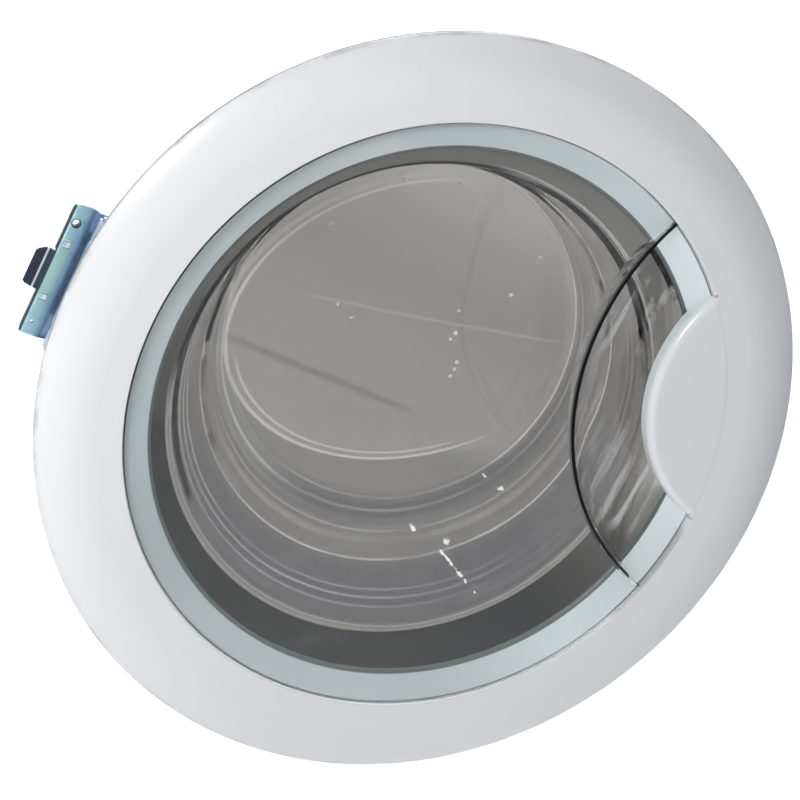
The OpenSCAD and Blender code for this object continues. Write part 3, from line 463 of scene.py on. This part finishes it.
class Build(Graph):
    """A Geometry Nodes tree with named sizes in metres, which ends as one plain mesh."""

    def __init__(self, name, **sizes):
        self.name = name
        self.sizes = sizes
        self.tree = bpy.data.node_groups.new(name, "GeometryNodeTree")
        self.nodes = self.tree.nodes
        self.links = self.tree.links
        self.tree.interface.new_socket("Geometry", in_out="OUTPUT", socket_type="NodeSocketGeometry")
        self.keys = {
            size: self.tree.interface.new_socket(size, in_out="INPUT", socket_type="NodeSocketFloat").identifier
            for size in sizes}
        self.size = self.add("NodeGroupInput", {}, {})
        self.index = self.add("GeometryNodeInputIndex", {}, {})[0]

    def point(self, x, y, z):
        return self.add("ShaderNodeCombineXYZ", {}, [x, y, z])[0]

    def move(self, shape, position):
        return self.add("GeometryNodeSetPosition", {}, {"Geometry": shape, "Position": position})[0]

    def pick(self, index, values):
        """The value with that number."""
        return self.add("GeometryNodeIndexSwitch", {"data_type": "FLOAT", "items": len(values)}, [index, *values])[0]

    def turned(self, rings, sides, lobes=0):
        """Lathe work round Y: each ring is (radius, height, share of the lobes), from the head to the tip."""
        grid = self.add("GeometryNodeMeshGrid", {}, {"Vertices X": sides + 1, "Vertices Y": len(rings)})["Mesh"]
        ring = self.index % len(rings)
        turn = (self.index / len(rings)).floor() * (2 * pi / sides)
        radius, height, share = (self.pick(ring, column) for column in zip(*rings))
        radius = radius * (1 + share * (turn * lobes).cos())
        shape = self.move(grid, self.point(radius * turn.cos(), height, radius * turn.sin()))
        return self.add("GeometryNodeMergeByDistance", {}, {"Geometry": shape, "Distance": 1e-6})[0]

    def tube(self, path, radius, sides):
        """Round bar along a curve, closed at its ends."""
        section = self.add("GeometryNodeCurvePrimitiveCircle", {}, {"Resolution": sides, "Radius": radius})["Curve"]
        return self.add("GeometryNodeCurveToMesh", {}, {
            "Curve": path, "Profile Curve": section, "Fill Caps": True})["Mesh"]

    def join(self, *shapes):
        made = self.nodes.new("GeometryNodeJoinGeometry")
        for shape in shapes:
            self.links.new(shape.socket, made.inputs[0])
        return Socket(self, made.outputs[0])

    def set_out(self, shape, points, scale=(1, 1, 1)):
        """One copy of the shape on each point."""
        return self.add("GeometryNodeInstanceOnPoints", {}, {"Points": points, "Instance": shape, "Scale": scale})[0]

    def finish(self, shape, finish, body, *replaced):
        """Runs the tree once and keeps its mesh as a piece that rides on a body in place of CAD nodes."""
        whole = self.add("GeometryNodeRealizeInstances", {}, [shape])[0]
        painted = self.add("GeometryNodeSetMaterial", {}, {"Geometry": whole, "Material": finish.material})[0]
        self.links.new(painted.socket, self.nodes.new("NodeGroupOutput").inputs[0])
        holder = bpy.data.objects.new(self.name + "_tree", bpy.data.meshes.new(self.name + "_tree"))
        bpy.context.scene.collection.objects.link(holder)
        modifier = holder.modifiers.new("build", "NODES")
        modifier.node_group = self.tree
        for size, value in self.sizes.items():
            modifier[self.keys[size]] = float(value)
        run = bpy.context.evaluated_depsgraph_get()
        mesh = bpy.data.meshes.new_from_object(holder.evaluated_get(run), depsgraph=run)
        holder.modifiers.remove(modifier)
        bpy.data.objects.remove(holder)
        mesh.shade_smooth()
        mesh.set_sharp_from_angle(angle=SHARP)
        piece = bpy.data.objects.new(self.name, mesh)
        bpy.context.scene.collection.objects.link(piece)
        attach(piece, body)
        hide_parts(*replaced)
        return piece


ZINC, ZINC_PALE = (0.50, 0.51, 0.54), (0.70, 0.71, 0.73)
bright = Finish("bright_zinc")
bright.surface(
    Base_Color=bright.blend(bright.noise(300.0), ZINC, ZINC_PALE),
    Roughness=0.26 + 0.22 * bright.noise(500.0, 3.0).step(0.45, 0.7),
    Metallic=1.0,
    Normal=bright.bump(bright.noise(1500.0, 2.0, (1, 0.15, 1)), 0.2, 0.0002),
)

FRAME_SCREWS, BEFORE_GRIP_GAP = 9, 3.5
FIRST_ANGLE, SPACING, EXTRA_GAP = radians(50), radians(36), radians(8)
SCREW_SIDES, CROSS_ARMS, ROOT_SHARE, TURN_STEPS = 32, 4, 0.78, 20
screws = Build("frame_screw_set",
               circle=0.205, underside=-0.016, head=0.0040, shank=0.0020, length=0.018, pitch=0.0018)
head, shank, length = (screws.size[name] for name in ("head", "shank", "length"))
root = shank * ROOT_SHARE
screw = screws.turned([
    (0.0, 0.0010, 0), (head * 0.24, 0.0010, 0.42), (head * 0.32, 0.0025, 0.42), (head * 0.36, 0.0026, 0.38),
    (head * 0.62, 0.0026, 0), (head * 0.78, 0.0024, 0), (head * 0.92, 0.0018, 0), (head * 0.99, 0.0010, 0),
    (head, 0.0004, 0), (head * 0.98, 0.0, 0), (shank, 0.0, 0), (root, -0.0006, 0),
    (root, 0.0022 - length, 0), (root * 0.2, 0.0002 - length, 0), (0.0, 0.0 - length, 0)], SCREW_SIDES, CROSS_ARMS)
turns = (length - 0.003) / screws.size["pitch"]
helix = screws.add("GeometryNodeCurveSpiral", {}, {
    "Resolution": TURN_STEPS, "Rotations": turns, "Height": length - 0.003,
    "Start Radius": root, "End Radius": root})["Curve"]
helix = screws.add("GeometryNodeTransform", {}, {
    "Geometry": helix, "Translation": (0, -0.0005, 0), "Rotation": (pi / 2, 0, 0)})[0]
screw = screws.join(screw, screws.tube(helix, (shank - root) * 0.98, 3))
past_gap = screws.index.step(BEFORE_GRIP_GAP - 0.1, BEFORE_GRIP_GAP + 0.1)
angle = FIRST_ANGLE + screws.index * SPACING + EXTRA_GAP * past_gap
line = screws.add("GeometryNodeMeshLine", {}, {"Count": FRAME_SCREWS})["Mesh"]
circle = screws.size["circle"]
points = screws.move(line, screws.point(circle * angle.cos(), screws.size["underside"], circle * angle.sin()))
screws.finish(screws.set_out(screw, points), bright, "door", "frame_screws")


# Lever's pin and clips: a turned steel pin in two cheeks of the frame, held by a spring clip in a
# groove near each end. Torsion spring: nearly six turns of oiled wire round the pin.
OILED, OILED_PALE = (0.13, 0.13, 0.14), (0.24, 0.23, 0.23)
wire = Finish("spring_wire")
wire.surface(
    Base_Color=wire.blend(wire.noise(700.0), OILED, OILED_PALE),
    Roughness=0.28 + 0.2 * wire.noise(900.0),
    Metallic=1.0,
)
wire.dress("pin_clips")
bright.dress("lever_pin")
TURN_RINGS, LEG_RINGS, WIRE_SIDES = 28, 24, 12


def wound(name, replaced, pin_u, pin_depth, coil_r, wire_r, first, last, start, turns, legs):
    """Torsion spring on the door, round a pin that lies across the grip: a leg, turns, a second leg."""
    spring = Build(name, coil=coil_r, wire=wire_r, first=first, last=last)
    size = spring.size
    way, sweep = (1 if turns > 0 else -1), 2 * pi * abs(turns)
    count = int(TURN_RINGS * abs(turns)) + LEG_RINGS
    reach = [leg / coil_r for leg in legs]
    along = spring.index / (count - 1) * (reach[0] + sweep + reach[1]) - reach[0]
    coiled = along.clip(0, sweep)
    straight = (along - coiled) * size["coil"] * way
    turn = start + way * coiled
    u = pin_u + size["coil"] * turn.cos() - straight * turn.sin()
    w = pin_depth - size["coil"] * turn.sin() - straight * turn.cos()
    v = size["first"] + (size["last"] - size["first"]) * coiled / sweep
    line = spring.add("GeometryNodeMeshLine", {}, {"Count": count})["Mesh"]
    path = spring.move(line, spring.point(u * cos(GRIP_ANGLE) - v * sin(GRIP_ANGLE), w - EDGE_TO_REAR,
                                          u * sin(GRIP_ANGLE) + v * cos(GRIP_ANGLE)))
    path = spring.add("GeometryNodeMeshToCurve", {}, [path])[0]
    spring.finish(spring.tube(path, size["wire"], WIRE_SIDES), wire, "door", replaced)


wound("lever_coil", "lever_spring", pin_u=0.192, pin_depth=0.012, coil_r=0.0036, wire_r=0.0006,
      first=0.0154, last=0.0228, start=pi / 2, turns=5.965, legs=(0.011, 0.011))


# Catch: a hook punched from thick zinc plated steel on its own pin, with a torsion spring that holds
# it out, and a nylon guide shoe round it, held by two countersunk screws.
NYLON, NYLON_PALE = (0.66, 0.65, 0.60), (0.74, 0.73, 0.68)
nylon = Finish("natural_nylon")
nylon.surface(
    Base_Color=nylon.blend(nylon.noise(90.0), NYLON, NYLON_PALE),
    Roughness=0.38 + 0.12 * nylon.noise(240.0),
    Subsurface_Weight=0.1,
    Subsurface_Scale=0.002,
    Normal=nylon.bump(nylon.noise(700.0, 2.0), 0.12, 0.0003),
)
nylon.dress("hook_guide", "hinge_bushes")
bright.dress("catch_hook", "hook_pin")
wound("hook_coil", "hook_spring", pin_u=0.199, pin_depth=0.027, coil_r=0.0036, wire_r=0.0006,
      first=0.0054, last=0.0094, start=pi, turns=-3, legs=(0.009, 0.008))

GUIDE_OUT = 0.201
guide = Build("guide_screw_pair", head=0.0032, shank=0.0017, spread=0.0115, rear=0.0018)
head, shank = guide.size["head"], guide.size["shank"]
screw = guide.turned([
    (0.0, -0.0012, 0), (head * 0.26, -0.0012, 0.42), (head * 0.36, 0.0, 0.42), (head * 0.40, 0.0, 0.38),
    (head * 0.97, 0.0, 0), (head, -0.0002, 0), (shank, -0.0018, 0), (shank * 0.8, -0.0022, 0),
    (shank * 0.8, -0.0062, 0), (0.0, -0.0074, 0)], SCREW_SIDES, CROSS_ARMS)
line = guide.add("GeometryNodeMeshLine", {}, {"Count": 2})["Mesh"]
side = guide.size["spread"] * (2 * guide.index - 1)
points = guide.move(line, guide.point(GUIDE_OUT * cos(GRIP_ANGLE) - side * sin(GRIP_ANGLE), guide.size["rear"],
                                      GUIDE_OUT * sin(GRIP_ANGLE) + side * cos(GRIP_ANGLE)))
guide.finish(guide.set_out(screw, points), bright, "door", "guide_screws")


# Hinge leaf and arm: sheet steel, zinc plated and blue passivated. The film is cloudy and grey blue, with
# painted shade darkening it to navy towards the knuckle and on the folds and the tab, a painted green
# highlight in the middle, and painted highlights on the knuckle, the tab's edge and the tongues.
LEAF_OUT, KNUCKLE, TAB = -0.2403, -0.2290, -0.2434
TAPPED_HOLE, PILOT_HOLE = ((-0.2361, 0.0290), 0.0029), ((-0.2361, -0.0308), 0.0011)
TONGUES = (-0.0154, 0.0164)
FILM, FILM_SHADE, FILM_CLOUD = (0.42, 0.70, 0.76), (0.25, 0.44, 0.64), (0.50, 0.70, 0.76)
FILM_GREEN_HIGHLIGHT, FILM_DUST, KNUCKLE_HIGHLIGHT = (0.55, 0.84, 0.72), (0.60, 0.66, 0.70), (0.78, 0.78, 0.88)
LEAF_FOLD_SHADE, TAB_SHADE, TAB_HIGHLIGHT = (0.014, 0.020, 0.045), (0.030, 0.038, 0.065), (0.80, 0.84, 0.90)
TONGUE_HIGHLIGHT, HOLE_SHADE = (0.85, 0.88, 0.92), (0.012, 0.013, 0.018)
blue = Finish("blue_zinc")
cloud = blue.noise(55.0, 4.0).step(0.35, 0.65)
fine = blue.noise(420.0, 3.0).step(0.40, 0.75)
# Painted green highlight in the middle of the leaf
green_highlight = blue.z.within(-0.012, 0.014, 0.008) * blue.x.within(-0.2400, -0.2330, 0.001)
# Painted shade darkens the film towards the knuckle
film = blue.blend(blue.x.step(LEAF_OUT, -0.2260), FILM, FILM_SHADE)
film = blue.blend(0.45 * cloud, film, FILM_CLOUD)
film = blue.blend(0.55 * green_highlight, film, FILM_GREEN_HIGHLIGHT)
film = blue.blend(0.25 * fine, film, FILM_DUST)
# Painted highlight on the knuckle
knuckle_highlight = blue.x.step(KNUCKLE, KNUCKLE + 0.0012) * blue.depth.step(0.0285, 0.0275)
film = blue.blend(0.85 * knuckle_highlight, film, KNUCKLE_HIGHLIGHT)
# Painted shade on the folds
leaf_fold_shade = blue.x.step(LEAF_OUT + 0.0010, LEAF_OUT + 0.0004)
film = blue.blend(0.92 * leaf_fold_shade, film, LEAF_FOLD_SHADE)
# Painted shade on the tab, and a painted highlight along its bent edge
film = blue.blend(0.88 * blue.x.step(TAB, TAB - 0.0004), film, TAB_SHADE)
film = blue.blend(0.85 * blue.x.within(TAB - 0.0002, TAB + 0.0008, 0.0002), film, TAB_HIGHLIGHT)
# Painted shade inside the tapped hole, the pilot hole and the slots beside the two tongues
hole_shade = 0.0
for (x, z), reach in (TAPPED_HOLE, PILOT_HOLE):
    hole_shade = (((blue.x - x) ** 2 + (blue.z - z) ** 2) ** 0.5).step(reach + 0.0002, reach) + hole_shade
for z in TONGUES:
    beside = abs(blue.z - z)
    hole_shade = beside.within(0.0014, 0.0023, 0.0001) * blue.x.within(-0.2385, -0.2338, 0.0002) + hole_shade
    # Painted highlight on each raised tongue
    tongue_highlight = beside.step(0.0014, 0.0012) * blue.x.within(-0.2375, -0.2341, 0.0001)
    film = blue.blend(0.85 * tongue_highlight * blue.depth.step(0.0267, 0.0265), film, TONGUE_HIGHLIGHT)
hole_shade = blue.depth.step(0.02705, 0.02720) * hole_shade.clip(0, 1)
blue.surface(
    Base_Color=blue.blend(0.95 * hole_shade, film, HOLE_SHADE),
    Roughness=0.30 + 0.20 * fine + 0.15 * leaf_fold_shade,
    Metallic=0.92,
    Normal=blue.bump(blue.noise(240.0) + 0.4 * blue.noise(1100.0, 2.0, (1, 1, 0.1)), 0.16, 0.0005),
)
blue.dress("hinge_leaf", "hinge_arm")
bright.dress("hinge_pin", "hinge_backing")


# Hinge screws: two socket head screws, bright zinc, through the arm, the frame and the backing
# plate. They are driven from the front, where the ring hides them when the door is whole.
HEXAGON, HEXAGON_CORNERS, BOLT_SIDES = 0.072, 6, 48
bolts = Build("hinge_screw_pair",
              head=0.0046, socket=0.0022, shank=0.0025, across=0.019, beside=-0.199, face=-0.020)
head, shank, socket = (bolts.size[name] for name in ("head", "shank", "socket"))
shape = bolts.turned([
    (0.0, 0.0210, 0), (shank * 0.80, 0.0210, 0), (shank, 0.0203, 0), (shank, 0.0, 0), (head * 0.96, 0.0, 0),
    (head, -0.0002, 0), (head, -0.0026, 0), (head * 0.92, -0.0030, 0), (socket * 1.06, -0.0030, 0),
    (socket * 0.93, -0.0027, HEXAGON), (socket * 0.93, -0.0012, HEXAGON), (0.0, -0.0009, 0)],
    BOLT_SIDES, HEXAGON_CORNERS)
line = bolts.add("GeometryNodeMeshLine", {}, {"Count": 2})["Mesh"]
points = bolts.move(line, bolts.point(
    bolts.size["beside"], bolts.size["face"], bolts.size["across"] * (2 * bolts.index - 1)))
bolts.finish(bolts.set_out(shape, points), bright, "door", "hinge_screws")


# Dried drops: chalky specks left on the bowl's floor by hard water, in a row down its middle and
# strewn about, each a thin dome on the glass. Their white is partly a painted glint.
CHALK_GLINT, CHALK_GLINT_PALE = (0.78, 0.77, 0.73), (0.92, 0.92, 0.90)
DROPS = (  # across and up the door
    (0.027, 0.049), (0.032, 0.035), (0.031, 0.030), (0.042, 0.018), (0.043, 0.013), (0.0425, 0.008), (0.054, 0.071),
    (-0.048, 0.024), (-0.074, 0.068), (-0.046, 0.111), (-0.012, 0.122), (0.007, 0.116), (-0.098, 0.039),
    (0.060, 0.100))
DROP_SIDES, SMALLEST, LARGEST, DROP_SEED = 10, 0.65, 1.3, 5
LOW, HIGH, SEED = 2, 3, 8  # the places of those sockets on the node
chalk = Finish("chalk_and_glint")
chalk.surface(
    Base_Color=chalk.blend(chalk.noise(900.0), CHALK_GLINT, CHALK_GLINT_PALE),
    Roughness=0.35 + 0.2 * chalk.noise(1400.0),
)
drops = Build("dried_drops", width=0.0012, height=0.0004, glass=0.0640)
width, height = drops.size["width"], drops.size["height"]
dome = drops.turned([(0.0, 0.00005, 0), (width, 0.00005, 0), (width * 0.94, height * -0.45, 0),
                     (width * 0.6, height * -0.85, 0), (0.0, 0.0 - height, 0)], DROP_SIDES)
line = drops.add("GeometryNodeMeshLine", {}, {"Count": len(DROPS)})["Mesh"]
xs, zs = (drops.pick(drops.index, column) for column in zip(*DROPS))
points = drops.move(line, drops.point(xs, drops.size["glass"], zs))
breadth = drops.add("FunctionNodeRandomValue", {"data_type": "FLOAT"}, {
    LOW: SMALLEST, HIGH: LARGEST, SEED: DROP_SEED})[1]
drops.finish(drops.set_out(dome, points, breadth), chalk, "door")
